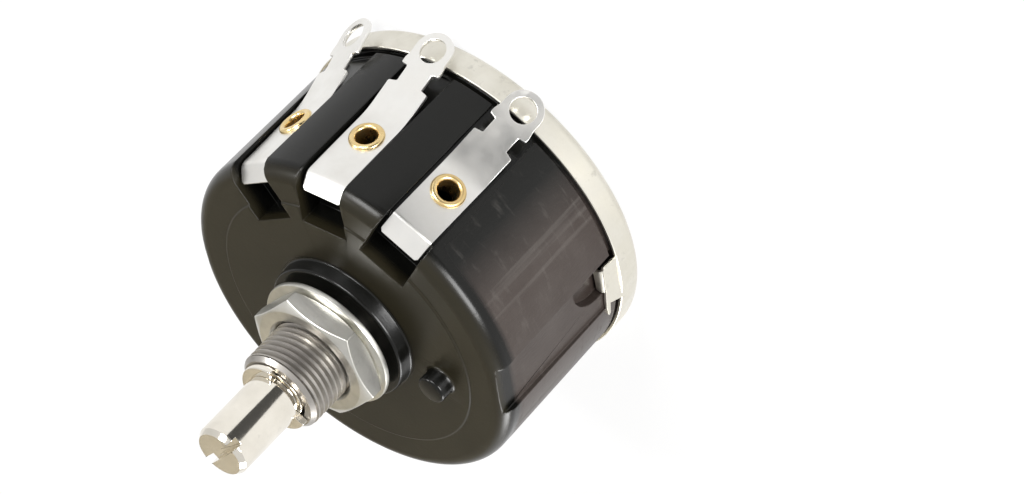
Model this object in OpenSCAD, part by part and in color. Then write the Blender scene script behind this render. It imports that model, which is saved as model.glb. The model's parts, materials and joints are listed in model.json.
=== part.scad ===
// Wirewound rheostat, panel mounting, single gang
// All sizes in millimetres. +Z is the shaft's direction. The origin is on the
// shaft's axis, on the mounting face that seats against the panel.
// The middle terminal points along -Y.

/* [Shaft] */
// Shaft diameter (a quarter of an inch)
shaft_d = 6.35; // [6.1:0.05:6.4]
// Shaft length from the mounting face
shaft_len = 20; // [14:0.5:30]
// Width of the screwdriver slot
slot_w = 0.9; // [0.7:0.1:1.4]
// Depth of the screwdriver slot
slot_depth = 1.2; // [0.8:0.1:2]

/* [Bushing] */
// Thread diameter over the crests
thread_d = 9.95; // [9.85:0.05:10]
// Thread pitch
pitch = 0.75; // [0.75:0.25:1]
// Bushing length from the mounting face
bushing_len = 10; // [8:0.5:12]

/* [Nut and washer] */
// Nut width across its flats
nut_af = 14; // [13:0.5:15]
// Nut thickness
nut_t = 2.8; // [2:0.1:3.5]
// Washer outer diameter
washer_d = 16.2; // [15:0.2:17.4]
// Washer thickness
washer_t = 0.7; // [0.5:0.05:1.2]
// How far the washer stands off the mounting face, with the nut loose
standoff = 1.1; // [0:0.1:2]

/* [Body] */
// Largest diameter of the body, over its front rim and its cover
body_d = 42.2; // [42:0.1:42.6]
// Body depth behind the mounting face, cover included
body_depth = 26.2; // [25.6:0.1:28]
// Diameter of the raised mounting boss
boss_d = 17.4; // [17:0.2:18]
// Height of the mounting boss above the front face
boss_h = 1.85; // [1.5:0.05:2]
// Diameter of the moulded peg on the front face
peg_d = 3.4; // [3:0.1:3.8]
// Height of the peg's top above the mounting face
peg_top = 0.1; // [0:0.1:1.5]

/* [Terminals] */
// Angle between neighbouring terminals
terminal_step = 31; // [29:0.5:33]
// Width of a terminal strip
strip_w = 5.2; // [4.8:0.05:5.5]
// Diameter of a solder lug's hole
lug_hole_d = 3; // [2.2:0.1:3.2]
// How far a lug leans outwards
flare = 15; // [8:0.5:16]

/* [Hidden] */
$fn = 96;

// Body
rim_r = body_d / 2;            // front rim
wall_back_r = rim_r - 0.35;    // the wall tapers a little towards the cover
wall_in_r = rim_r - 2.5;
face_z = -boss_h;
ring_r = 16.4;                 // the step line on the front face
ring_h = 0.2;
rim_fillet = 1.9;
front_in_z = -5.6;             // inside face of the front wall
wall_end_z = 4.1 - body_depth; // where the wall stops, just short of the cover
spigot_z = wall_end_z - 0.9;
spigot_r = rim_r - 0.4;        // the cover's skirt grips this
groove_r = rim_r - 1;
mouth_z = 0.85 - body_depth;   // open end of the moulded cup
peg_r = 12.7;                  // the peg's place on the front face
peg_angle = 169.6;

// Cover, a drawn steel cap
cap_t = 0.4;
cap_edge_r = 1.2;
cap_back_z = -body_depth;
skirt_z = 3.55 - body_depth;   // free edge of the skirt
tab_end_z = skirt_z + 2.45;
tab_angles = [177.5, 90, 2.5];
flat_x = rim_r - 0.9;          // the wall's flats, which the tabs are folded down on
flat_w = 6.6;
pocket_r = 3.6;
pocket_y = 2.4;
pocket_z = -19.5;

// Terminals
angle_left = -90 - terminal_step;
angle_centre = -90;
angle_right = -90 + terminal_step;
strip_t = 0.5;
strip_x = rim_r - 0.8;         // outer face of the flat part, from the axis
channel_w = 6;
channel_x = strip_x - strip_t;
window_x = 14.2;               // inner edge of the pocket in the front face
window_z = -4.95;              // floor of that pocket
hook_z = -4.4;                 // where the front hook starts to bend
hook_bend = 50;
hook_r = 1.2;
hook_len = 1.6;
flare_z = -14.1;               // where the lug starts to lean outwards
neck_u = 4.15;                 // distances along the leaning lug
ear_u = 6.45;
hole_u = 9;
neck_w = 3.3;
ear_w = 5;
lug_r = 2.3;
eyelet_z = -10.8;
eyelet_d = 2.9;                // the eyelet's shank
eyelet_hole_d = 2.44;
eyelet_flange_d = 4;
pad_x = wall_in_r - 0.3;       // flats inside the wall, which the clamps sit on

// Inside
hub_front_z = -7.3;
hub_back_z = -13;
element_r0 = 16.3;             // winding former, a curved strip of fibre
element_r1 = 17.3;
element_z0 = -19.5;
element_z1 = -9.5;
wire_t = 0.3;
winding_start = -48;           // the wiper keeps to the bare wire between these angles
winding_end = 228;

// A block standing at an angle round the body, by its radial reach, width and height
module radial_block(angle, x0, x1, w, z0, z1) {
  rotate([0, 0, angle]) translate([x0, -w / 2, z0]) cube([x1 - x0, w, z1 - z0]);
}

// A round hole or pin through the wall, square to the axis
module radial_pin(angle, z, d, x0, x1) {
  rotate([0, 0, angle]) translate([x0, 0, z]) rotate([0, 90, 0]) cylinder(d = d, h = x1 - x0);
}

// Moulded cup, as one turned profile
module cup() {
  arc = [for (a = [90:-7.5:0]) [rim_r - rim_fillet + rim_fillet * cos(a),
                                face_z - ring_h - rim_fillet + rim_fillet * sin(a)]];
  hole_r = thread_d / 2 + 0.025;
  rotate_extrude() polygon(concat(
    [[hole_r, 0], [boss_d / 2 - 0.25, 0], [boss_d / 2, -0.25], [boss_d / 2, face_z],
     [ring_r, face_z], [ring_r + 0.25, face_z - ring_h]],
    arc,
    [[wall_back_r, wall_end_z], [groove_r, wall_end_z], [groove_r, spigot_z],
     [spigot_r, spigot_z], [spigot_r, mouth_z + 0.4], [spigot_r - 0.4, mouth_z],
     [wall_in_r, mouth_z], [wall_in_r, front_in_z], [hole_r, front_in_z]]));
}

module housing() {
  color([0.13, 0.12, 0.11]) {
    difference() {
      union() {
        cup();
        // flats inside the wall behind each terminal
        for (a = [angle_left, angle_centre, angle_right])
          intersection() {
            radial_block(a, pad_x, wall_in_r + 0.5, 7, -14.5, front_in_z + 0.5);
            translate([0, 0, -15]) cylinder(r = wall_in_r + 0.25, h = 11);
          }
        // posts that stop the rotor at each end of its turn
        for (a = [angle_left + 2, angle_right - 2])
          radial_block(a, 10.8, 13.4, 2.6, -10.4, front_in_z + 0.5);
      }
      for (a = [angle_left, angle_centre, angle_right]) {
        radial_block(a, channel_x, rim_r + 1, channel_w, wall_end_z, 0);
        radial_block(a, window_x, rim_r + 1, channel_w, window_z, 0);
        radial_pin(a, eyelet_z, eyelet_d, pad_x - 1, channel_x + 1);
      }
      for (a = tab_angles) {
        radial_block(a, flat_x, rim_r + 1, flat_w, mouth_z - 1, 0);
        // rounded pocket that takes the tab's folded lip
        rotate([0, 0, a]) intersection() {
          translate([flat_x - 1.1, pocket_y, pocket_z]) {
            rotate([0, 90, 0]) cylinder(r = pocket_r, h = 4);
            translate([0, -pocket_r, wall_end_z - 0.45 - pocket_z])
              cube([4, 2 * pocket_r, pocket_z - wall_end_z + 0.45]);
          }
          translate([flat_x - 2, -flat_w / 2, wall_end_z - 1]) cube([4, flat_w - 0.15, 10]);
        }
      }
    }
    rotate([0, 0, peg_angle]) translate([peg_r, 0, 0]) peg();
  }
}

module peg() {
  r = peg_d / 2;
  rotate_extrude() polygon([[0, face_z - 0.5], [r + 0.2, face_z - 0.5], [r + 0.2, face_z], [r, face_z + 0.2],
                            [r, peg_top - 0.3], [r - 0.3, peg_top], [0, peg_top]]);
}

module cover() {
  outer = [for (a = [0:-10:-90]) [rim_r - cap_edge_r + cap_edge_r * cos(a),
                                  cap_back_z + cap_edge_r + cap_edge_r * sin(a)]];
  inner_r = cap_edge_r - cap_t;
  inner = [for (a = [-90:10:0]) [rim_r - cap_edge_r + inner_r * cos(a),
                                 cap_back_z + cap_edge_r + inner_r * sin(a)]];
  color([0.86, 0.85, 0.80]) {
    rotate_extrude() polygon(concat([[rim_r, skirt_z]], outer,
      [[0, cap_back_z], [0, cap_back_z + cap_t]], inner, [[rim_r - cap_t, skirt_z]]));
    for (a = tab_angles) rotate([0, 0, a]) tab();
  }
}

// Tab folded down on a flat: a tapering plate with a lip turned into the pocket
// at its front edge, and a spur at one corner
module tab() {
  x0 = flat_x + 0.25;
  x1 = flat_x + 0.05;
  intersection() {
    rotate([90, 0, 0]) linear_extrude(height = 10, center = true)
      polygon([[x0, skirt_z - 0.75], [x0 + cap_t, skirt_z - 0.75], [x0 + cap_t, skirt_z],
               [x1 + cap_t, tab_end_z], [x1, tab_end_z], [x0, skirt_z]]);
    rotate([0, 90, 0]) linear_extrude(height = 30)
      polygon([[1 - skirt_z, 2.65], [-skirt_z, 2.65], [0.5 - tab_end_z, 2.9], [0.1 - tab_end_z, 2.8],
               [-tab_end_z, 2.5], [-tab_end_z, -3.1], [0.6 - tab_end_z, -3.1],
               [0.8 - tab_end_z, -2.95], [-skirt_z, -3.6], [1 - skirt_z, -3.6]]);
  }
  translate([flat_x + 0.32, -4.5, tab_end_z - 0.55]) cube([0.35, 1.5, 0.45]);
  translate([x1 - 0.65, -0.5, tab_end_z - cap_t]) cube([0.7, 3, cap_t]);
}

module insulating_disc() {
  color([0.62, 0.50, 0.36]) translate([0, 0, cap_back_z + cap_t])
    cylinder(r = rim_r - 1.4, h = mouth_z - cap_back_z - cap_t);
}

// Threaded bushing. The thread's crests and roots are drawn as closed rings.
module bushing() {
  r = thread_d / 2;
  root = r - 0.42;
  first = 0.6;
  turns = floor((bushing_len - 0.7 - first) / pitch);
  thread = [for (i = [0:turns - 1]) let (z = first + i * pitch) each
            [[r, z], [r, z + 0.12], [root, z + 0.36], [root, z + 0.51]]];
  top = first + turns * pitch;
  color([0.60, 0.59, 0.57]) rotate_extrude() polygon(concat(
    [[shaft_d / 2 + 0.05, front_in_z - 1.2], [7, front_in_z - 1.2], [7, front_in_z],
     [r + 0.025, front_in_z], [r + 0.025, 0], [r, 0]], thread,
    [[r, top], [r, bushing_len - 0.5], [r - 0.5, bushing_len],
     [shaft_d / 2 + 0.45, bushing_len], [shaft_d / 2 + 0.05, bushing_len - 0.4]]));
}

module flat_washer() {
  color([0.80, 0.79, 0.74]) translate([0, 0, standoff]) rotate_extrude()
    polygon([[thread_d / 2 + 0.175, 0], [washer_d / 2 - 0.1, 0], [washer_d / 2, 0.1],
             [washer_d / 2, washer_t - 0.15], [washer_d / 2 - 0.15, washer_t],
             [thread_d / 2 + 0.175, washer_t]]);
}

module hex_nut() {
  corner = nut_af / 2 / cos(30);
  flat_r = nut_af / 2 - 0.25;    // the bevelled faces' circle
  out_r = corner + 0.5;
  bevel = (out_r - flat_r) * tan(30);
  bore = thread_d + 0.09;
  color([0.82, 0.80, 0.75]) translate([0, 0, standoff + washer_t]) difference() {
    intersection() {
      rotate([0, 0, -16]) cylinder(r = corner, h = nut_t, $fn = 6);
      rotate_extrude() polygon([[0, 0], [flat_r, 0], [out_r, bevel], [out_r, nut_t - bevel],
                                [flat_r, nut_t], [0, nut_t]]);
    }
    translate([0, 0, -1]) cylinder(d = bore, h = nut_t + 2);
    translate([0, 0, nut_t - 0.4]) cylinder(d1 = bore, d2 = bore + 1, h = 0.5);
  }
}

module shaft() {
  r = shaft_d / 2;
  end_z = hub_back_z - 2;
  color([0.85, 0.83, 0.79]) difference() {
    rotate_extrude() polygon([[0, end_z], [r - 0.3, end_z], [r, end_z + 0.3],
      [r, hub_back_z - 1.2], [r - 0.575, hub_back_z - 1.2], [r - 0.575, hub_back_z - 0.45],
      [r, hub_back_z - 0.45],
      [r, bushing_len + 0.05], [r - 0.575, bushing_len + 0.05], [r - 0.575, bushing_len + 0.85],
      [r, bushing_len + 0.85], [r, shaft_len - 0.7], [r - 0.45, shaft_len], [0, shaft_len]]);
    rotate([0, 0, 46]) translate([-r - 1, -slot_w / 2, shaft_len - slot_depth])
      cube([2 * r + 2, slot_w, slot_depth + 1]);
  }
}

// An open ring in a groove of the shaft; gap is the angle left open, centred on angle
module open_ring(r_out, z, t, gap, angle) {
  r_in = shaft_d / 2 - 0.575;
  rotate([0, 0, angle + gap / 2]) rotate_extrude(angle = 360 - gap)
    polygon([[r_in, z], [r_out - 0.08, z], [r_out, z + 0.08], [r_out, z + t - 0.08],
             [r_out - 0.08, z + t], [r_in, z + t]]);
}

module shaft_clip() {
  color([0.78, 0.76, 0.71]) open_ring(4.25, bushing_len + 0.05, 0.8, 113, -153.5);
}

module rear_clip() {
  color([0.70, 0.69, 0.66]) open_ring(4.3, hub_back_z - 1.2, 0.75, 100, -90);
}

module thrust_washer() {
  color([0.72, 0.60, 0.35]) translate([0, 0, hub_front_z]) difference() {
    cylinder(r = 6.0, h = 0.4);
    translate([0, 0, -1]) cylinder(d = shaft_d, h = 3);
  }
}

// Insulating hub pressed on the shaft, with the lug that meets the stop posts
module rotor_hub() {
  color([0.45, 0.28, 0.16]) difference() {
    union() {
      translate([0, 0, hub_back_z]) cylinder(r = 7.6, h = hub_front_z - hub_back_z);
      radial_block(90, 5, 13.2, 3.0, -10.2, hub_front_z);
    }
    translate([0, 0, hub_back_z - 1]) cylinder(d = shaft_d, h = 10);
  }
}

// Spring arm on the back of the hub, which presses the contact on the wire
module wiper_arm() {
  color([0.80, 0.62, 0.30]) difference() {
    union() {
      translate([0, 0, hub_back_z - 0.4]) cylinder(r = 6.8, h = 0.4);
      radial_block(90, 5.5, 15.0, 4.0, hub_back_z - 0.4, hub_back_z);
      radial_block(90, 14.6, 15.0, 4.0, -17.5, hub_back_z);
    }
    translate([0, 0, hub_back_z - 1]) cylinder(r = 4.6, h = 2);
  }
}

module wiper_contact() {
  color([0.30, 0.29, 0.28]) radial_pin(90, -15.6, 2.4, 15.0, element_r0 - wire_t - 0.06);
}

// Leaf on the front of the hub, with two round feet on the collector
module pickup_spring() {
  color([0.80, 0.62, 0.30]) {
    translate([0, 0, hub_front_z]) difference() {
      union() {
        cylinder(r = 7.4, h = 0.3);
        for (a = [0, 180]) radial_block(a, 6.5, 9.8, 2.2, 0, 0.3);
      }
      translate([0, 0, -1]) cylinder(r = 6.2, h = 3);
    }
    for (a = [0, 180]) rotate([0, 0, a]) translate([8.9, 0, hub_front_z + 0.1]) cylinder(d = 1.6, h = 1.17);
  }
}

// Ring under the pickup spring, with an arm to the middle eyelet
module collector_plate() {
  color([0.78, 0.62, 0.32]) difference() {
    union() {
      translate([0, 0, front_in_z - 0.4]) cylinder(r = 10.2, h = 0.4);
      radial_block(angle_centre, 9.5, pad_x, 4, front_in_z - 0.4, front_in_z);
      radial_block(angle_centre, pad_x - 0.4, pad_x, 5.4, -13.6, front_in_z);
    }
    translate([0, 0, front_in_z - 1]) cylinder(r = 7.6, h = 2);
    radial_pin(angle_centre, eyelet_z, eyelet_d, pad_x - 1, pad_x + 1);
  }
}

module winding_former() {
  color([0.70, 0.58, 0.42]) rotate([0, 0, -54]) rotate_extrude(angle = 288)
    translate([element_r0, element_z0]) square([element_r1 - element_r0, element_z1 - element_z0]);
}

// A sleeve round the former, t thick, from one angle on
module former_sleeve(t, from, sweep) {
  rotate([0, 0, from]) rotate_extrude(angle = sweep) difference() {
    translate([element_r0 - t, element_z0 - t])
      square([element_r1 - element_r0 + 2 * t, element_z1 - element_z0 + 2 * t]);
    translate([element_r0, element_z0]) square([element_r1 - element_r0, element_z1 - element_z0]);
  }
}

// Envelope of the turns of resistance wire laid side by side on the former
module resistance_winding() {
  color([0.52, 0.47, 0.40]) former_sleeve(wire_t, winding_start, winding_end - winding_start);
}

// Metal sleeve on one end of the former, with a tab under the eyelet.
// side is +1 where the wire lies at the larger angle.
module end_clamp(angle, side) {
  color([0.80, 0.64, 0.34]) rotate([0, 0, angle]) difference() {
    union() {
      former_sleeve(0.3, side > 0 ? 4.2 : -10.6, 6.4);
      translate([pad_x - 0.35, -3.1, -13.4]) cube([0.35, 6.2, 5.2]);
      translate([element_r1, side > 0 ? 2.25 : -3.1, -13.4]) cube([pad_x - element_r1, 0.85, 4]);
    }
    translate([pad_x - 0.6, 0, eyelet_z]) rotate([0, 90, 0]) cylinder(d = eyelet_d, h = 2);
  }
}
module end_clamp_left() { end_clamp(angle_left, -1); }
module end_clamp_right() { end_clamp(angle_right, 1); }

// One strip of tinned brass: a hook in the front face's pocket, a flat under the eyelet,
// and a lug with a shouldered neck and a round end that leans outwards
module terminal(angle) {
  cx = strip_x - hook_r;
  hook_out = [for (a = [hook_bend:-hook_bend / 6:0]) [cx + hook_r * cos(a), hook_z + hook_r * sin(a)]];
  hook_in = [for (a = [0:hook_bend / 6:hook_bend])
             [cx + (hook_r - strip_t) * cos(a), hook_z + (hook_r - strip_t) * sin(a)]];
  tip = hook_len * [-sin(hook_bend), cos(hook_bend)];
  lug = hole_u + lug_r + 0.5;
  end_out = [strip_x + lug * sin(flare), flare_z - lug * cos(flare)];
  color([0.90, 0.89, 0.86]) rotate([0, 0, angle]) difference() {
    intersection() {
      rotate([90, 0, 0]) linear_extrude(height = strip_w, center = true)
        polygon(concat([hook_out[0] + tip], hook_out, [[strip_x, flare_z], end_out,
          end_out - strip_t * [cos(flare), sin(flare)],
          [strip_x - strip_t, flare_z - strip_t * tan(flare / 2)]],
          hook_in, [hook_in[len(hook_in) - 1] + tip]));
      union() {
        translate([10, -strip_w / 2, flare_z - 1]) cube([15, strip_w, 20]);
        // the lug's outline, in its own leaning plane
        translate([strip_x, 0, flare_z]) rotate([0, -flare, 0]) translate([-2, 0, 0])
          rotate([0, 90, 0]) linear_extrude(height = 4) lug_outline();
      }
    }
    translate([strip_x, 0, flare_z]) rotate([0, -flare, 0]) translate([-2, 0, -hole_u])
      rotate([0, 90, 0]) cylinder(d = lug_hole_d, h = 4);
    translate([strip_x - 2, 0, eyelet_z]) rotate([0, 90, 0]) cylinder(d = eyelet_d, h = 4);
  }
}
module lug_outline() {
  translate([0, -strip_w / 2]) square([neck_u, strip_w]);
  translate([neck_u - 0.5, -neck_w / 2]) square([hole_u - neck_u, neck_w]);
  translate([ear_u, -ear_w / 2]) square([0.7, ear_w]);
  translate([ear_u, -lug_r]) square([hole_u - ear_u, 2 * lug_r]);
  translate([hole_u, 0]) circle(r = lug_r);
}
module terminal_left() { terminal(angle_left); }
module terminal_centre() { terminal(angle_centre); }
module terminal_right() { terminal(angle_right); }

// Hollow brass eyelet with a rolled flange outside and a flat one inside.
// grip is the distance from the axis to the inner sheet's inside face.
module eyelet(angle, grip) {
  s = eyelet_d / 2;
  h = eyelet_hole_d / 2;
  f = eyelet_flange_d / 2;
  color([0.80, 0.66, 0.38]) rotate([0, 0, angle]) translate([0, 0, eyelet_z]) rotate([0, 90, 0])
    rotate_extrude() polygon([[h, grip - 0.25], [f - 0.2, grip - 0.25], [f - 0.2, grip], [s, grip],
      [s, strip_x], [f, strip_x], [f, strip_x + 0.15], [f - 0.15, strip_x + 0.3],
      [f - 0.4, strip_x + 0.38], [h + 0.15, strip_x + 0.3], [h, strip_x + 0.1]]);
}
module eyelet_left() { eyelet(angle_left, pad_x - 0.35); }
module eyelet_centre() { eyelet(angle_centre, pad_x - 0.4); }
module eyelet_right() { eyelet(angle_right, pad_x - 0.35); }

housing();
cover();
insulating_disc();
bushing();
flat_washer();
hex_nut();
shaft();
shaft_clip();
thrust_washer();
rotor_hub();
rear_clip();
wiper_arm();
wiper_contact();
pickup_spring();
collector_plate();
winding_former();
resistance_winding();
end_clamp_left();
end_clamp_right();
terminal_left();
terminal_centre();
terminal_right();
eyelet_left();
eyelet_centre();
eyelet_right();
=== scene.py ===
# %% [markdown]
# # A wirewound rheostat, as a lesson in mesh code and finishes
# The part is a black moulded cup about 42 mm across with a threaded bushing, a slotted
# shaft, three riveted solder lugs and a crimped metal cover. Most of it is turned or
# stamped, so most pieces come from two ideas: spin a profile, or bend a flat plate.

# %% The frame, which every piece is placed in
import json
import math

import bmesh
import bpy
from mathutils import Euler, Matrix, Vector

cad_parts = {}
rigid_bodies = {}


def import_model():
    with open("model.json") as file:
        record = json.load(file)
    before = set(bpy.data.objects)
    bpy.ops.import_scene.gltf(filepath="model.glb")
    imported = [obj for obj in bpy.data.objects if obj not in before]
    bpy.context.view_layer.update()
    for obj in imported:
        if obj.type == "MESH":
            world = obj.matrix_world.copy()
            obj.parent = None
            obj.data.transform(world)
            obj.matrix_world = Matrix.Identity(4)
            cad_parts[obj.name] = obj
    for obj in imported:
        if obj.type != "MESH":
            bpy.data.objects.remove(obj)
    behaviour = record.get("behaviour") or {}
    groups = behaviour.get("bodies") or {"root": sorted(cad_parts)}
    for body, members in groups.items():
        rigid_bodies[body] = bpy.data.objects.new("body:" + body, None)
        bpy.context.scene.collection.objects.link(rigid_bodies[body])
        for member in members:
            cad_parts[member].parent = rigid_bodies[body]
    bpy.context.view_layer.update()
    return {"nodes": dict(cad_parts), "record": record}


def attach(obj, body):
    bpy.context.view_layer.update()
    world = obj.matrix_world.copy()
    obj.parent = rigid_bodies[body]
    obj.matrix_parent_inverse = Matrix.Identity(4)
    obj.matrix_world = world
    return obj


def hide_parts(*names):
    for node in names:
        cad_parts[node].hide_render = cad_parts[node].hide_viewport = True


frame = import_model()

# %% [markdown]
# Everything on a control like this is drawn in millimetres, while Blender's unit here is
# the metre. One constant turns one into the other, and the main sizes follow it, so that
# each later cell can name what it uses.

# %% Main sizes, in metres
MM = 0.001
RIM = 21.1 * MM            # largest radius, at the front rim and at the cover
COVER_BACK = -26.2 * MM
STRIP_FACE = 20.3 * MM     # outer face of a terminal strip, from the axis
LEFT, CENTRE, RIGHT = -121, -90, -59   # where the terminals stand round the body
TABS = (177.5, 90, 2.5)    # where the cover's tabs are folded down
print("body is %.1f mm across" % (2 * RIM / MM))

# %% [markdown]
# A new mesh becomes a piece in a few steps that are the same each time: give it an
# object, shade it smooth except at its sharp edges, say which body it rides on and which
# plain solid it stands for. A helper keeps those steps in one place.

# %% Helpers that turn a mesh into a piece
def link(name, bm):
    """An object made from a bmesh, with its normals facing out."""
    bmesh.ops.remove_doubles(bm, verts=bm.verts, dist=1e-7)
    bmesh.ops.recalc_face_normals(bm, faces=bm.faces)
    mesh = bpy.data.meshes.new(name)
    bm.to_mesh(mesh)
    bm.free()
    piece = bpy.data.objects.new(name, mesh)
    bpy.context.scene.collection.objects.link(piece)
    return piece


def settle(piece):
    """Bakes the piece's modifiers into its mesh, so that nothing is left to work out."""
    graph = bpy.context.evaluated_depsgraph_get()
    mesh = bpy.data.meshes.new_from_object(piece.evaluated_get(graph))
    piece.modifiers.clear()
    piece.data = mesh
    return piece


def smooth(piece, angle=32):
    """Smooth shading, with edges sharper than the angle kept crisp."""
    piece.data.shade_smooth()
    piece.data.set_sharp_from_angle(angle=math.radians(angle))
    return piece


def even(piece):
    """Lets each large face set the shading at its edges, so that a flat shades flat."""
    flats = piece.modifiers.new("flats", "WEIGHTED_NORMAL")
    flats.weight, flats.keep_sharp = 100, True
    return settle(piece)


def bevel(piece, width, steps, angle):
    """Real edges are never knife sharp: a small bevel catches the light along them."""
    edge = piece.modifiers.new("edge", "BEVEL")
    edge.width = width
    edge.segments = steps
    edge.limit_method = "ANGLE"
    edge.angle_limit = math.radians(angle)
    edge.use_clamp_overlap = False
    return smooth(settle(piece))


def round_edges(piece, width, steps=2, angle=30):
    """A bevel, then even shading on the flats that it leaves."""
    return even(bevel(piece, width, steps, angle))


def stands_for(piece, node, body="body"):
    """The piece rides on a body and takes the place of a plain solid."""
    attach(piece, body)
    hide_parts(node)
    print("%-20s %6d faces" % (piece.name, len(piece.data.polygons)))
    return piece


# %% [markdown]
# A lathe is the first idea. A closed profile of radius and height pairs is spun round Z.
# With a full turn the last column of faces joins the first one; with a part of a turn the
# two ends are capped, which is what an open ring clip needs.

# %% The lathe
def turned(name, profile, sweep=360, start=0, columns=240):
    """A solid spun from a closed profile of (radius, z) points in metres."""
    bm = bmesh.new()
    full = sweep >= 360
    count = columns if full else max(2, int(columns * sweep / 360)) + 1
    rings = []
    for i in range(count):
        a = math.radians(start + sweep * i / (count if full else count - 1))
        rings.append([bm.verts.new((r * math.cos(a), r * math.sin(a), z)) for r, z in profile])
    n = len(profile)
    for i in range(count if full else count - 1):
        one, two = rings[i], rings[(i + 1) % count]
        for j in range(n):
            k = (j + 1) % n
            bm.faces.new((one[j], two[j], two[k], one[k]))
    if not full:
        bm.faces.new(rings[0])
        bm.faces.new(list(reversed(rings[-1])))
    return link(name, bm)


def arc(centre_r, centre_z, radius, a0, a1, steps=8):
    """Points along a rounded corner of a profile, angles in degrees."""
    return [(centre_r + radius * math.cos(math.radians(a0 + (a1 - a0) * i / steps)),
             centre_z + radius * math.sin(math.radians(a0 + (a1 - a0) * i / steps)))
            for i in range(steps + 1)]


# %% [markdown]
# The housing is spun first and cut afterwards, as the mould's cores would leave it. Each
# cutter is a block that stands square to a direction round the body. Booleans with the
# manifold solver keep flat floors flat, and the small bevel comes last so that it runs round
# every new edge as well.

# %% Cutters and the boolean step
def block(angle, x0, x1, y0, y1, z0, z1):
    """A box by its radial reach, sideways reach and height, turned to an angle."""
    bm = bmesh.new()
    bmesh.ops.create_cube(bm, size=1)
    for v in bm.verts:
        v.co = Vector((x0 + (x1 - x0) * (v.co.x + 0.5), y0 + (y1 - y0) * (v.co.y + 0.5),
                       z0 + (z1 - z0) * (v.co.z + 0.5)))
    bmesh.ops.rotate(bm, verts=bm.verts, matrix=Euler((0, 0, math.radians(angle))).to_matrix())
    return link("cutter", bm)


def side_pin(angle, y, z, radius, x0, x1, columns=64):
    """A round cutter that points at the axis, for rivet holes and rounded pockets."""
    bm = bmesh.new()
    bmesh.ops.create_cone(bm, segments=columns, radius1=radius, radius2=radius, depth=1, cap_ends=True)
    for v in bm.verts:
        v.co = Vector((x0 + (x1 - x0) * (v.co.z + 0.5), y + v.co.x, z + v.co.y))
    bmesh.ops.rotate(bm, verts=bm.verts, matrix=Euler((0, 0, math.radians(angle))).to_matrix())
    return link("cutter", bm)


def combine(piece, tools, operation):
    """Cuts, joins or intersects a piece with each tool, which is then thrown away."""
    for tool in tools:
        step = piece.modifiers.new(operation.lower(), "BOOLEAN")
        step.operation, step.solver, step.object = operation, "MANIFOLD", tool
        settle(piece)
        bpy.data.objects.remove(tool)
    return piece


# %% [markdown]
# The cup's profile runs from the bushing's hole over the raised boss, across the front
# face with its fine ring step, round the rim's fillet, down the tapering wall and round
# the spigot that the cover grips, then back up inside.

# %% The housing, spun and cut
def ease(*points):
    """Millimetre pairs to metres."""
    return [(r * MM, z * MM) for r, z in points]


cup = ease((5.0, -0.02), (8.35, -0.02), (8.6, -0.1), (8.7, -0.35), (8.7, -1.65), (8.78, -1.8), (8.95, -1.85),
           (16.4, -1.85), (16.6, -2.05))
cup += [(r * MM, z * MM) for r, z in arc(19.2, -3.95, 1.9, 90, 0, 12)]
cup += ease((20.75, -22.1), (20.1, -22.1), (20.1, -23.0), (20.7, -23.0), (20.7, -24.95), (20.3, -25.35),
            (18.6, -25.35), (18.6, -5.6), (5.0, -5.6))
housing = turned("housing_moulding", cup)
tools = []
for angle in (LEFT, CENTRE, RIGHT):
    tools.append(block(angle, 19.8 * MM, 23 * MM, -3 * MM, 3 * MM, -22.1 * MM, 1 * MM))
    tools.append(block(angle, 14.2 * MM, 23 * MM, -3 * MM, 3 * MM, -4.95 * MM, 1 * MM))
    tools.append(side_pin(angle, 0, -10.8 * MM, 1.45 * MM, 17 * MM, 21 * MM))
for angle in TABS:
    tools.append(block(angle, 20.2 * MM, 23 * MM, -3.3 * MM, 3.3 * MM, -26.5 * MM, 1 * MM))
    well = combine(side_pin(angle, 2.4 * MM, -19.5 * MM, 3.6 * MM, 19.1 * MM, 23 * MM),
                   [block(angle, 19.1 * MM, 23 * MM, -1.2 * MM, 6 * MM, -22.55 * MM, -19.5 * MM)], "UNION")
    tools.append(combine(well, [block(angle, 18 * MM, 24 * MM, -3.3 * MM, 3.15 * MM, -24 * MM, -12 * MM)],
                         "INTERSECT"))
combine(housing, tools, "DIFFERENCE")
print("cut housing has", len(housing.data.polygons), "faces")

# %% [markdown]
# A short moulded peg stands on the front face beside the boss. It is spun too, moved into
# place and joined before the edges are rounded, so that it grows out of the face as a
# moulding does. The cup then stands for the plain solid of the same name.

# %% The peg, and the housing's edges
PEG = Vector((-12.49 * MM, 2.29 * MM, 0))
peg = turned("peg", ease((0, -3.2), (2.1, -3.2), (2.1, -1.86), (1.86, -1.8), (1.74, -1.6), (1.7, -1.3),
                         (1.7, -0.2), (1.62, 0.0), (1.4, 0.1), (0, 0.1)), columns=64)
for vertex in peg.data.vertices:
    vertex.co += PEG
combine(housing, [peg], "UNION")


def tidy(piece, near):
    """Merges the slivers that cuts leave, so that a bevel has room at every corner."""
    bm = bmesh.new()
    bm.from_mesh(piece.data)
    bmesh.ops.remove_doubles(bm, verts=bm.verts, dist=near)
    bmesh.ops.dissolve_degenerate(bm, edges=bm.edges, dist=near)
    bmesh.ops.connect_verts_concave(bm, faces=[f for f in bm.faces if len(f.verts) > 4])
    bm.to_mesh(piece.data)
    bm.free()
    return piece


tidy(housing, 0.09 * MM)
round_edges(housing, 0.1 * MM, steps=3, angle=38)
stands_for(housing, "housing")

# %% [markdown]
# The cover is drawn from thin sheet: a shallow cap with a rounded edge and a skirt round
# the spigot. Its three tabs are folded down on the housing's flats, and a lip at each
# tab's front is turned into the pocket. A bent plate is the second idea of this lesson:
# draw the flat blank, round its edges, slice it where it will bend, then roll it along a
# path of straight and curved stretches.

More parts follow.
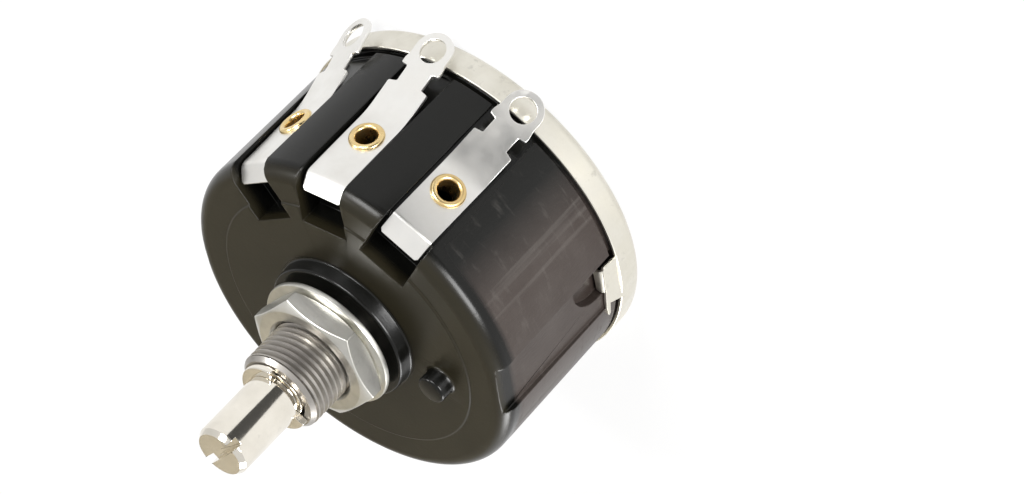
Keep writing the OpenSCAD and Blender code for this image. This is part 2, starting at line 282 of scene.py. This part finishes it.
# %% A flat blank, and the path it is bent along
def blank(name, outline, thickness, holes=(), edge=0.08 * MM):
    """A flat plate in the XY plane, its outer face at z 0, with round holes and soft edges."""
    bm = bmesh.new()
    floor = [bm.verts.new((x, y, -thickness)) for x, y in outline]
    roof = [bm.verts.new((x, y, 0)) for x, y in outline]
    bm.faces.new(floor)
    bm.faces.new(roof)
    for i in range(len(outline)):
        j = (i + 1) % len(outline)
        bm.faces.new((floor[i], floor[j], roof[j], roof[i]))
    plate = link(name, bm)
    for x, y, radius in holes:
        bm = bmesh.new()
        bmesh.ops.create_cone(bm, segments=48, radius1=radius, radius2=radius, depth=4 * thickness, cap_ends=True)
        bmesh.ops.translate(bm, verts=bm.verts, vec=(x, y, 0))
        combine(plate, [link("punch", bm)], "DIFFERENCE")
    return bevel(plate, edge, steps=2, angle=40)


def bend(plate, stretches, start, heading):
    """Rolls a blank's X along a path in the XZ plane. A stretch is (length, degrees turned)."""
    ends, total = [], 0
    for length, turn in stretches:
        ends.append(total)
        total += length
    bm = bmesh.new()
    bm.from_mesh(plate.data)
    for (length, turn), x0 in zip(stretches, ends):
        slices = 7 if turn else 1
        for i in range(slices + 1 if turn else 0):
            bmesh.ops.bisect_plane(bm, geom=bm.verts[:] + bm.edges[:] + bm.faces[:],
                                   plane_co=(x0 + length * i / slices, 0, 0), plane_no=(1, 0, 0))
    for v in bm.verts:
        x, depth, where, course = v.co.x, v.co.z, Vector(start), math.radians(heading)
        for (length, turn), x0 in zip(stretches, ends):
            step = min(max(x - x0, 0), length) if x0 + length < total - 1e-9 else max(x - x0, 0)
            if x0 == 0 and x < 0:
                step = x
            if turn and step:
                swing = math.radians(turn) * step / length
                radius = length / math.radians(turn)
                where += Vector((math.sin(course + swing) - math.sin(course),
                                 math.cos(course) - math.cos(course + swing))) * radius
                course += swing
            else:
                where += Vector((math.cos(course), math.sin(course))) * step
        normal = Vector((-math.sin(course), math.cos(course)))
        v.co = Vector((where.x + normal.x * depth, v.co.y, where.y + normal.y * depth))
    bm.to_mesh(plate.data)
    bm.free()
    return even(smooth(plate, 40))


def turn_about_axis(piece, angle):
    """Carries a piece round the shaft's axis, by an angle in degrees."""
    for v in piece.data.vertices:
        v.co.rotate(Euler((0, 0, math.radians(angle))))
    return piece


# %% The cover and its tabs
cap = [(r * MM, z * MM) for r, z in arc(19.9, -25.0, 1.2, 0, -90, 10)]
cap += ease((0, -26.2), (0, -25.8))
cap += [(r * MM, z * MM) for r, z in arc(19.9, -25.0, 0.8, -90, 0, 8)]
cap += ease((20.7, -22.72), (20.78, -22.65), (21.02, -22.65), (21.1, -22.73))
cover = smooth(turned("cover_cap", cap))
stands_for(cover, "cover")


def tab_parts():
    """The folded tab: a tapering plate with a spur at one corner, and the lip in front of it."""
    plate = blank("tab", ease((-1.2, -3.7), (0, -3.6), (1.72, -2.95), (1.9, -4.3), (2.15, -4.55), (2.35, -4.3),
                              (2.38, -3.0), (2.2, -1.0), (2.1, 2.3), (1.9, 2.75), (0, 2.7), (-1.2, 2.7)),
                  0.4 * MM, edge=0.1 * MM)
    bend(plate, [(3 * MM, 0)], (20.47 * MM, -22.65 * MM), 94.5)
    lip = blank("lip", ease((0, -1.2), (1.3, -0.9), (1.4, 2.0), (0, 2.5)), 0.4 * MM, edge=0.1 * MM)
    bend(lip, [(0.35 * MM, 0), (0.4 * MM, 82), (1 * MM, 0)], (20.36 * MM, -21.25 * MM), 94.5)
    return plate, lip


for number, angle in enumerate(TABS, 1):
    for part, what in zip(tab_parts(), ("tab", "lip")):
        part.name = "cover_%s_%d" % (what, number)
        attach(turn_about_axis(part, angle), "body")

# %% [markdown]
# The terminals are stamped strips of tinned brass. Each blank has a square front end, a
# shoulder, a narrow neck, and a round eye for the wire. It is hooked over the wall's front
# edge, lies flat in its channel under the rivet, and leans out by 15 degrees at the lug.
# The same blank serves three times; only the crispness of the front fold differs.

# %% Terminals
STRIP = 0.5 * MM
EYELET_Z, FLARE_Z, FLARE = -10.8, -14.1, 15
# angle round the body, fold's radius, where its corner is, its length and its turn
FOLDS = {"terminal_left": (LEFT, 0.6, -4.7, 2.6, 48), "terminal_centre": (CENTRE, 1.3, -3.84, 2.16, 52),
         "terminal_right": (RIGHT, 1.3, -3.84, 2.16, 52)}


def strip_outline(lug):
    """The strip's outline in mm. The hook's end is at X 0, and lug is where the lean is measured from."""
    half = [(0, 2.3), (0.3, 2.6), (lug + 4.05, 2.6), (lug + 4.15, 2.5), (lug + 4.35, 1.72), (lug + 4.45, 1.65),
            (lug + 6.3, 1.65), (lug + 6.4, 1.75), (lug + 6.5, 2.4), (lug + 6.6, 2.5), (lug + 7.2, 2.5),
            (lug + 8.0, 2.3)]
    half += [(lug + 9 + 2.3 * math.sin(math.radians(a)), 2.3 * math.cos(math.radians(a))) for a in range(0, 90, 8)]
    outline = half + [(lug + 11.3, 0)] + [(x, -y) for x, y in reversed(half)]
    return ease(*outline)


def terminal(node):
    angle, radius, corner, length, turn = FOLDS[node]
    reach = radius * math.tan(math.radians(turn / 2))
    hook, fold = length - reach, radius * math.radians(turn)
    lean_reach = 10 * math.tan(math.radians(FLARE / 2))
    lean = 10 * math.radians(FLARE)
    flat = (corner - reach) - (FLARE_Z + lean_reach)
    lug = hook + fold + flat + lean - lean_reach
    rivet = hook + fold + (corner - reach) - EYELET_Z
    strip = blank(node + "_strip", strip_outline(lug), STRIP,
                  holes=((rivet * MM, 0, 1.45 * MM), ((lug + 9) * MM, 0, 1.5 * MM)))
    heading = math.radians(turn - 90)
    start = (STRIP_FACE - (hook + reach) * math.cos(heading) * MM, (corner - (hook + reach) * math.sin(heading)) * MM)
    bend(strip, [(hook * MM, 0), (fold * MM, -turn), (flat * MM, 0), (lean * MM, FLARE), (12 * MM, 0)],
         start, turn - 90)
    return stands_for(turn_about_axis(strip, angle), node)


for node in FOLDS:
    terminal(node)

# %% [markdown]
# An eyelet is a short brass tube, rolled over at its outer end. Its section is a turned
# profile too, only its axis points outwards from the body, so it is spun round Z and then
# laid over. The hole stays open and dark right through the wall.

# %% Eyelets
def lay_out(piece, angle, z):
    """Turns a piece's Z outwards and stands it at a height on the wall."""
    for v in piece.data.vertices:
        v.co = Vector((v.co.z, v.co.y, z - v.co.x))
    return turn_about_axis(piece, angle)


for side, angle in (("left", LEFT), ("centre", CENTRE), ("right", RIGHT)):
    roll = [(1.22, 17.7), (1.8, 17.7), (1.8, 17.9), (1.45, 17.95), (1.45, 20.3), (1.98, 20.3), (2.0, 20.36)]
    roll += arc(1.61, 20.3, 0.39, 12, 168, 12) + [(1.22, 20.2)]
    eyelet = turned("eyelet_%s_rivet" % side, ease(*roll), columns=72)
    stands_for(smooth(lay_out(eyelet, angle, EYELET_Z * MM)), "eyelet_" + side)

# %% [markdown]
# The bushing is die-cast and carries a fine right-hand thread. A thread is a profile that
# climbs by one pitch with each turn. The grid below follows the groove round, and its
# rows are pressed flat where the thread runs out at both ends, which is also how a
# real thread ends at a shoulder and at a chamfer.

# %% The bushing and its thread
PITCH, CREST, ROOT = 0.75, 4.97, 4.56


def threaded_tube(name, z0, z1, columns=128):
    """The threaded outside, closed by the chamfered mouth, the bore and the inner flange."""
    bm = bmesh.new()
    shape = ((0.0, CREST), (0.10, CREST), (0.32, ROOT), (0.46, ROOT), (0.68, CREST))
    turns = int((z1 - z0) / PITCH) + 2
    climb = [(i * PITCH + dz, r) for i in range(-1, turns) for dz, r in shape]
    below = [(3.225, 9.6), (3.225, -6.8), (7.0, -6.8), (7.0, -5.6), (5.0, -5.6), (5.0, 0.0), (CREST, 0.0)]
    above = [(4.45, 10.0), (3.65, 10.0)]
    rings = []
    for i in range(columns + 1):
        a = 2 * math.pi * i / columns
        ring = [(r, z) for r, z in below]
        for dz, r in climb:
            z = z0 + dz + PITCH * i / columns
            taper = min(max((z - z0) / 0.3, 0), 1)
            z = min(max(z, z0), z1)
            ring.append((min(CREST + (r - CREST) * taper, 4.45 + (10.0 - z)), z))
        ring += above
        rings.append([(r * math.cos(a) * MM, r * math.sin(a) * MM, z * MM) for r, z in ring])
    verts = [[bm.verts.new(p) for p in ring] for ring in rings]
    count = len(rings[0])
    for i in range(columns):
        for j in range(count):
            k = (j + 1) % count
            bm.faces.new((verts[i][j], verts[i + 1][j], verts[i + 1][k], verts[i][k]))
    bmesh.ops.remove_doubles(bm, verts=bm.verts, dist=0.002 * MM)
    bmesh.ops.dissolve_degenerate(bm, edges=bm.edges, dist=0.001 * MM)
    return link(name, bm)


stands_for(smooth(threaded_tube("bushing_thread", 0.5, 9.55), 25), "bushing")

# %% [markdown]
# The nut is a hexagon bar's slice whose corners are chamfered by a cone on both faces.
# Spinning a lens-shaped profile and intersecting it with the bar gives the curved lines
# that a real nut has at the top of each flat.

# %% Nut, washer, shaft and clip
bar = bmesh.new()
bmesh.ops.create_cone(bar, segments=6, radius1=8.083 * MM, radius2=8.083 * MM, depth=2.8 * MM, cap_ends=True)
bmesh.ops.rotate(bar, verts=bar.verts, matrix=Euler((0, 0, math.radians(14))).to_matrix())
bmesh.ops.translate(bar, verts=bar.verts, vec=(0, 0, 3.2 * MM))
nut = combine(link("nut_hexagon", bar),
              [turned("lens", ease((0, 1.75), (6.75, 1.8), (9.0, 3.0), (9.0, 3.4), (6.75, 4.6), (0, 4.65)))],
              "INTERSECT")
combine(nut, [turned("tap", ease((0, 0), (5.6, 0), (5.6, 1.8), (5.02, 2.25), (5.02, 4.15), (5.5, 4.6),
                                 (5.6, 5.5), (0, 5.5)), columns=120)], "DIFFERENCE")
stands_for(round_edges(nut, 0.09 * MM, steps=3, angle=16), "hex_nut", "nut")

washer = turned("washer_ring", ease((5.15, 1.1), (7.98, 1.1), (8.1, 1.22), (8.1, 1.6), (8.04, 1.74), (7.9, 1.8),
                                    (5.3, 1.8), (5.15, 1.65)))
stands_for(smooth(washer, 40), "flat_washer", "washer")

spindle = turned("shaft_spindle", ease(
    (0, -15), (2.875, -15), (3.175, -14.7), (3.175, -14.2), (2.6, -14.2), (2.6, -13.45), (3.175, -13.45),
    (3.175, 10.0), (3.12, 10.05), (2.6, 10.05), (2.6, 10.85), (3.12, 10.85), (3.175, 10.9), (3.175, 19.25),
    (3.13, 19.4), (2.75, 19.95), (2.6, 20.0), (0, 20)), columns=160)
combine(spindle, [block(46, -4 * MM, 4 * MM, -0.45 * MM, 0.45 * MM, 18.8 * MM, 21 * MM)], "DIFFERENCE")
stands_for(round_edges(spindle, 0.06 * MM, steps=2, angle=40), "shaft", "rotor")

clip = turned("clip_ring", ease((2.6, 10.05), (4.15, 10.05), (4.25, 10.15), (4.25, 10.75), (4.15, 10.85),
                                (2.6, 10.85)), sweep=247, start=-97)
stands_for(round_edges(clip, 0.07 * MM, angle=40), "shaft_clip", "rotor")

# %% [markdown]
# The resistance wire is wound on a curved fibre strip, turn beside turn. It can't be seen
# through the housing, but a reader who takes the cover off should find wire and not a
# smooth band, so each turn is a ridge: a rounded cross-section whose size swells and
# shrinks along the strip.

# %% The winding
def wound_strip(name, first, last, turns=230, per_turn=5):
    """A curved strip from one angle to another, with a ridge for each turn of wire."""
    bm = bmesh.new()
    low, high, tall = 16.0, 17.6, (-19.8, -9.2)
    section = [(low, tall[0]), (high, tall[0]), (high, tall[1]), (low, tall[1])]
    middle = Vector(((low + high) / 2, (tall[0] + tall[1]) / 2))
    loops = []
    for i in range(turns * per_turn + 1):
        a = math.radians(first + (last - first) * i / (turns * per_turn))
        dip = 0.13 * (0.5 - 0.5 * math.cos(2 * math.pi * i / per_turn))
        loop = []
        for r, z in section:
            r += dip if r < middle.x else -dip
            z += dip if z < middle.y else -dip
            loop.append(bm.verts.new((r * math.cos(a) * MM, r * math.sin(a) * MM, z * MM)))
        loops.append(loop)
    for one, two in zip(loops, loops[1:]):
        for j in range(4):
            bm.faces.new((one[j], two[j], two[(j + 1) % 4], one[(j + 1) % 4]))
    bm.faces.new(loops[0])
    bm.faces.new(list(reversed(loops[-1])))
    return link(name, bm)


stands_for(wound_strip("winding_wire", -48, 228), "resistance_winding")

# %% [markdown]
# ## Finishes
# A material is a tree of nodes, and its maths reads best as Python. The class below wraps
# one socket, so that `mask * 0.4 + 0.1` adds the Math nodes by itself, and `1 - mask`
# works as well.

# %% Sockets that can be added and multiplied
class Wire:
    """One output socket of a material's tree."""
    def __init__(self, finish, socket):
        self.finish, self.socket = finish, socket

    def maths(self, operation, *others):
        return self.finish.node("Math", {"operation": operation}, *((self,) + others))

    def __add__(self, other): return self.maths("ADD", other)
    def __mul__(self, other): return self.maths("MULTIPLY", other)
    def __sub__(self, other): return self.maths("SUBTRACT", other)
    def __rsub__(self, other): return self.finish.node("Math", {"operation": "SUBTRACT"}, other, self)
    def __pow__(self, other): return self.maths("POWER", other)
    __radd__, __rmul__ = __add__, __mul__

    def span(self, low, high, to_low=0.0, to_high=1.0):
        """Stretches low..high of this value to another range, and clips what is outside."""
        return self.finish.node("MapRange", {}, self, low, high, to_low, to_high)


class Finish:
    """A material with a Principled shader, built up by calls."""
    def __init__(self, name):
        self.material = bpy.data.materials.new(name)
        self.material.use_nodes = True
        self.tree = self.material.node_tree
        self.shader = self.tree.nodes["Principled BSDF"]
        self.place = self.node("TexCoord", {}, out="Object")

    def plug(self, value, socket):
        if isinstance(value, Wire):
            self.tree.links.new(value.socket, socket)
        elif value is not None:
            socket.default_value = value

    def node(self, kind, settings, *values, out=0, **named):
        """Adds a node, sets it, fills its inputs in order or by name, and gives its output."""
        node = self.tree.nodes.new("ShaderNode" + kind)
        for key, value in settings.items():
            if key == "stops":
                ramp = node.color_ramp
                while len(ramp.elements) < len(value):
                    ramp.elements.new(0.5)
                for element, (at, colour) in zip(ramp.elements, value):
                    element.position, element.color = at, (*colour, 1)
            else:
                setattr(node, key, value)
        for socket, value in zip([s for s in node.inputs if s.enabled], values):
            self.plug(value, socket)
        for key, value in named.items():
            self.plug(value, node.inputs[key])
        return Wire(self, node.outputs[out])

    def noise(self, scale, detail=3.0, stretch=(1, 1, 1), rough=0.55):
        """Noise with about `scale` bumps to the metre, stretched along the axes."""
        where = self.node("Mapping", {}, Vector=self.place, Scale=stretch)
        return self.node("TexNoise", {}, Vector=where, Scale=scale, Detail=detail, Roughness=rough)

    def blend(self, mask, one, two):
        """Mixes two colours by a mask."""
        mix = self.tree.nodes.new("ShaderNodeMix")
        mix.data_type = "RGBA"
        for value, socket in ((mask, mix.inputs[0]), (one, mix.inputs[6]), (two, mix.inputs[7])):
            self.plug((*value, 1) if isinstance(value, tuple) else value, socket)
        return Wire(self, mix.outputs[2])

    def dress(self, height=None, depth=0.00001, **sockets):
        """Sets the shader's sockets, and turns a height into a bump of that depth in metres."""
        for key, value in sockets.items():
            self.plug((*value, 1) if isinstance(value, tuple) and len(value) == 3 else value,
                      self.shader.inputs[key.replace("_", " ")])
        if height is not None:
            bump = self.node("Bump", {}, Strength=1.0, Distance=depth, Height=height)
            self.plug(bump, self.shader.inputs["Normal"])
        return self.material


# %% [markdown]
# The housing is black phenolic. Its front face is a warm olive, partly a matte haze and
# partly painted sheen, while the boss and the peg are left black as painted shade. The surface
# is glossy with a faint orange peel, and handling leaves a fine haze and hairline scratches that
# run mostly along the wall. Thin scratches come from noise that is stretched thirty times along
# one axis and cut off high. One side of the wall is hazier and browner: partly aged and handled,
# partly painted sheen.

# %% Black phenolic
phenolic = Finish("black_phenolic")
across, along_y, height = (phenolic.node("SeparateXYZ", {}, phenolic.place, out=i) for i in range(3))
radius = (across * across + along_y * along_y) ** 0.5
# The front face takes the olive: partly matte haze, partly painted sheen. The boss and the peg stay jet black as
# painted shade.
face = radius.span(8.75 * MM, 9.3 * MM) * height.span(-3.5 * MM, -2.5 * MM)
across_peg, along_peg = across - PEG.x, along_y - PEG.y
face = face * ((across_peg * across_peg + along_peg * along_peg) ** 0.5).span(1.72 * MM, 1.85 * MM)
wall = height.span(-5.2 * MM, -4.4 * MM, 1, 0)
# A brown patch on one side of the wall: partly aged haze, partly painted sheen.
worn_and_sheen = wall * across.span(-15.5 * MM, -19 * MM)
handled = wall * across.span(-13 * MM, -15.5 * MM)
haze = phenolic.noise(120, 5)
streaks = phenolic.noise(900, 2, stretch=(1, 1, 0.03)).span(0.62, 0.72)
cross = phenolic.noise(1500, 3, stretch=(0.25, 0.25, 1)).span(0.58, 0.75)
fine = phenolic.noise(2600, 4).span(0.3, 0.7)
scuffs = phenolic.noise(3600, 5, stretch=(1, 1, 0.35)).span(0.38, 0.66)
# OLIVE_HAZE_AND_SHEEN is the face's colour: partly matte haze, partly painted sheen.
JET, OLIVE_HAZE_AND_SHEEN = (0.003, 0.003, 0.0025), (0.012, 0.010, 0.005)
# The two browns are partly aged haze and partly painted sheen on that side of the wall.
WORN_SHEEN_BROWN, PALE_WORN_SHEEN_BROWN, SCRATCH = (0.027, 0.020, 0.017), (0.043, 0.035, 0.031), (0.11, 0.10, 0.09)
scratches = (streaks + cross) * handled
black = phenolic.blend(face, JET, OLIVE_HAZE_AND_SHEEN)
black = phenolic.blend(worn_and_sheen, black, phenolic.blend(haze.span(0.35, 0.7), WORN_SHEEN_BROWN, PALE_WORN_SHEEN_BROWN))
black = phenolic.blend(scratches * 0.16, black, SCRATCH)
gloss = haze.span(0.3, 0.7, 0.2, 0.26) + scratches * 0.16 + handled * 0.14 + face * 0.12
relief = fine * 0.4 + (streaks + cross) * -0.5 + scuffs * handled * (1 - worn_and_sheen * 0.55) * 2.8
phenolic.dress(Base_Color=black, Roughness=gloss, IOR=1.33, height=relief, depth=0.000006)

# %% [markdown]
# Plated and tinned metals share one recipe: a light metallic base, a soft cloudy change of
# roughness where it has been handled, and a faint grain. Only the tint, the roughness and
# the grain's direction differ.

# %% Metals
def metal(name, tint, dull, rough, grain=(1, 1, 1), spots=0.0, bump=0.000003):
    """A metal that varies between a clean tint and a dull one, and between two roughnesses."""
    finish = Finish(name)
    cloud = finish.noise(260, 4).span(0.35, 0.68)
    lines = finish.noise(1800, 3, stretch=grain)
    colour = finish.blend(cloud, tint, dull)
    if spots:
        stain = finish.noise(700, 5, rough=0.7).span(0.6, 0.72)
        colour = finish.blend(stain * spots, colour, tuple(c * 0.45 for c in dull))
    return finish.dress(Base_Color=colour, Metallic=1.0, Roughness=cloud * (rough[1] - rough[0]) + rough[0],
                        height=lines, depth=bump)


finishes = {
    "phenolic": phenolic.material,
    "tin_plate": metal("tinned_strip", (0.82, 0.81, 0.78), (0.74, 0.725, 0.69), (0.28, 0.38), (1, 1, 0.1), 0.05,
                       bump=0.000001),
    "cover_plate": metal("cover_plating", (0.74, 0.715, 0.64), (0.62, 0.595, 0.52), (0.30, 0.46), spots=0.35),
    "nickel": metal("satin_nickel", (0.66, 0.65, 0.61), (0.50, 0.49, 0.45), (0.28, 0.40), (1, 1, 0.2), 0.25),
    "polished_nickel": metal("polished_nickel", (0.84, 0.80, 0.72), (0.74, 0.70, 0.62), (0.06, 0.13), (1, 1, 0.2),
                             0.15),
    "bushing_metal": metal("die_cast_zinc", (0.44, 0.42, 0.39), (0.30, 0.28, 0.26), (0.28, 0.42), spots=0.4),
    "eyelet_brass": metal("eyelet_brass", (0.86, 0.68, 0.36), (0.66, 0.48, 0.22), (0.20, 0.34), spots=0.3),
    "spring_bronze": metal("spring_bronze", (0.80, 0.56, 0.30), (0.62, 0.42, 0.22), (0.28, 0.44)),
    "resistance_wire": metal("resistance_wire", (0.52, 0.46, 0.38), (0.36, 0.32, 0.27), (0.34, 0.5), (1, 1, 0.3)),
}

# %% [markdown]
# The hidden insulators are plain: fibre board with a visible mat, a brown moulded hub and
# a carbon brush. They need only a colour, a soft change over the surface and a roughness.

# %% Insulators
def dull_stuff(name, one, two, rough, scale=900, stretch=(1, 1, 1)):
    """A material with no shine, mottled between two colours."""
    finish = Finish(name)
    mat = finish.noise(scale, 6, stretch)
    return finish.dress(Base_Color=finish.blend(mat.span(0.3, 0.7), one, two),
                        Roughness=mat.span(0.3, 0.7, rough, rough + 0.15), height=mat, depth=0.00002)


finishes["fibre"] = dull_stuff("fibre_board", (0.42, 0.30, 0.19), (0.30, 0.20, 0.12), 0.65, stretch=(1, 1, 0.2))
finishes["hub_moulding"] = dull_stuff("brown_moulding", (0.20, 0.09, 0.04), (0.13, 0.06, 0.03), 0.4)
finishes["carbon"] = dull_stuff("carbon_brush", (0.05, 0.05, 0.05), (0.03, 0.03, 0.03), 0.55)

# %% [markdown]
# Every piece takes the finish of its material slot: the carried-over solids by the
# record's list, and the new pieces by the solid that they stand for.

# %% Painting every piece
slot_of = {p["node"]: p["material_slot"] for p in frame["record"]["subparts"]}
for node, solid in frame["nodes"].items():
    solid.data.materials.clear()
    solid.data.materials.append(finishes[slot_of[node]])
    for polygon in solid.data.polygons:
        polygon.material_index = 0
NEW = {"housing_moulding": "phenolic", "cover": "cover_plate", "terminal": "tin_plate", "eyelet": "eyelet_brass",
       "bushing": "bushing_metal", "nut": "nickel", "washer": "nickel", "shaft": "polished_nickel",
       "clip": "polished_nickel",
       "winding": "resistance_wire"}
for piece in bpy.context.scene.objects:
    for start, slot in NEW.items():
        if piece.type == "MESH" and piece.name.startswith(start) and piece.name not in frame["nodes"]:
            piece.data.materials.clear()
            piece.data.materials.append(finishes[slot])
            piece.data.polygons.foreach_set("material_index", [0] * len(piece.data.polygons))
            print("painted", piece.name, "as", slot)

# %% [markdown]
# ## Stage
# The camera is long, 258 mm, and looks down at the part from about 27 degrees. It is rolled
# so that the shaft points down to the left.

# %% Camera
camera = bpy.data.objects.new("camera", bpy.data.cameras.new("camera"))
camera.data.lens, camera.data.sensor_width = 258.49, 36
camera.data.clip_start, camera.data.clip_end = 0.01, 20
camera.location = (-0.41341, -0.56025, 0.36078)
camera.rotation_euler = Euler([math.radians(a) for a in (-52.7065, 37.2724, 168.9273)])
bpy.context.scene.collection.objects.link(camera)
bpy.context.scene.camera = camera

# %% [markdown]
# The floor is a plain pale sheet that the cover stands on. Three of Light Path's outputs
# turn it nearly white where it is looked at, mirrored or seen through, and it keeps the
# part's shadow. Soft lamps hang round it like a small product studio, and plain cards
# give polished metal something darker to mirror, as the dark flags in a studio do. One
# dark card on the floor is seen only in reflections: it paints a dark reflection down the shaft.

# %% Floor, lamps and world
WHITENED = 0.85   # how much of the floor's look is plain white; the rest takes the shadow


def sheet_floor(size=3.0):
    """The pale sheet, a hair below the cover's back."""
    bm = bmesh.new()
    bmesh.ops.create_grid(bm, x_segments=2, y_segments=2, size=size)
    bmesh.ops.translate(bm, verts=bm.verts, vec=(0, 0, COVER_BACK - 0.00002))
    floor = link("floor", bm)
    paint = Finish("floor_paper")
    paint.dress(Base_Color=(0.9, 0.9, 0.9), Roughness=0.9)
    seen, mirrored, through = (paint.node("LightPath", {}, out="Is %s Ray" % kind)
                               for kind in ("Camera", "Glossy", "Transmission"))
    white = paint.node("Emission", {}, Strength=1.0)
    mix = paint.node("MixShader", {}, (seen + mirrored + through) * WHITENED,
                     Wire(paint, paint.shader.outputs[0]), white)
    paint.tree.links.new(mix.socket, paint.tree.nodes["Material Output"].inputs["Surface"])
    floor.data.materials.append(paint.material)
    return floor


def lamp(name, energy, size, location, aim=(0, 0, -0.01)):
    """A soft rectangular lamp, its power in watts, that points at the body."""
    light = bpy.data.lights.new(name, "AREA")
    light.shape, light.size, light.size_y = "RECTANGLE", size[0], size[1]
    light.energy = energy
    holder = bpy.data.objects.new(name, light)
    holder.location = location
    holder.rotation_euler = (Vector(aim) - Vector(location)).to_track_quat("-Z", "Y").to_euler()
    bpy.context.scene.collection.objects.link(holder)


def screen(name, colour, size, middle, aim=(0, 0, 0)):
    """A plain card beside the part. The camera doesn't see it, so it never hides the part."""
    bm = bmesh.new()
    bmesh.ops.create_grid(bm, x_segments=1, y_segments=1, size=0.5)
    turn = (Vector(aim) - Vector(middle)).to_track_quat("Z", "Y").to_matrix()
    for v in bm.verts:
        v.co = Vector(middle) + turn @ Vector((v.co.x * size[0], v.co.y * size[1], 0))
    card = link(name, bm)
    paint = Finish(name + "_paint")
    paint.dress(Base_Color=colour, Roughness=0.9)
    card.data.materials.append(paint.material)
    card.visible_camera = False
    return card


sheet_floor()
DARK, GREY = (0.01, 0.01, 0.01), (0.31, 0.28, 0.22)
screen("dark_card", DARK, (0.38, 0.155), (-0.148, -0.317, 0.052), (0, 0, 0.052))
# A dark card that only reflections see, with no shadow and no share in diffuse light: it paints a dark reflection
# down the shaft.
reflection_only_card = screen("dark_paper", DARK, (0.10, 0.10), (-0.061, -0.101, -0.0255), (-0.061, -0.101, 1))
reflection_only_card.visible_diffuse = reflection_only_card.visible_shadow = False
screen("grey_card", GREY, (0.6, 0.5), (0.264, 0.357, 0.24))
lamp("key", 7.0, (0.35, 0.35), (0.02, -0.75, 0.40))
lamp("side", 4.0, (0.30, 0.22), (-0.52, -0.17, 0.10))
lamp("spark", 2.0, (0.12, 0.12), (0.42, -0.35, 0.55))
lamp("kicker", 2.0, (0.25, 0.2), (-0.25, 0.45, 0.10))
print("lamps:", [light.name for light in bpy.data.lights])

# %% [markdown]
# The world is a dim white dome for light, and plain white where it is looked at, mirrored
# or seen through, so that the background and the reflections agree with the floor.

# %% The world
DOME, PLAIN_WHITE = 0.55, 1.0
world = bpy.data.worlds.new("studio")
bpy.context.scene.world = world
world.use_nodes = True
sky = world.node_tree
dome = sky.nodes["Background"]
dome.inputs["Color"].default_value = (1, 1, 1, 1)
dome.inputs["Strength"].default_value = DOME
plain = sky.nodes.new("ShaderNodeBackground")
plain.inputs["Strength"].default_value = PLAIN_WHITE
path = sky.nodes.new("ShaderNodeLightPath")
looked_at = path.outputs["Is Camera Ray"]
for kind in ("Glossy", "Transmission"):
    either = sky.nodes.new("ShaderNodeMath")
    either.operation = "MAXIMUM"
    sky.links.new(looked_at, either.inputs[0])
    sky.links.new(path.outputs["Is %s Ray" % kind], either.inputs[1])
    looked_at = either.outputs[0]
mixer = sky.nodes.new("ShaderNodeMixShader")
for socket, target in zip((looked_at, dome.outputs[0], plain.outputs[0]), mixer.inputs):
    sky.links.new(socket, target)
sky.links.new(mixer.outputs[0], sky.nodes["World Output"].inputs["Surface"])
print("world: %.2f for light, %.1f to look at" % (DOME, PLAIN_WHITE))

# %% [markdown]
# The view transform is set to Standard, so that a colour renders about as it is written.

# %% Finish
bpy.context.scene.view_settings.view_transform = "Standard"
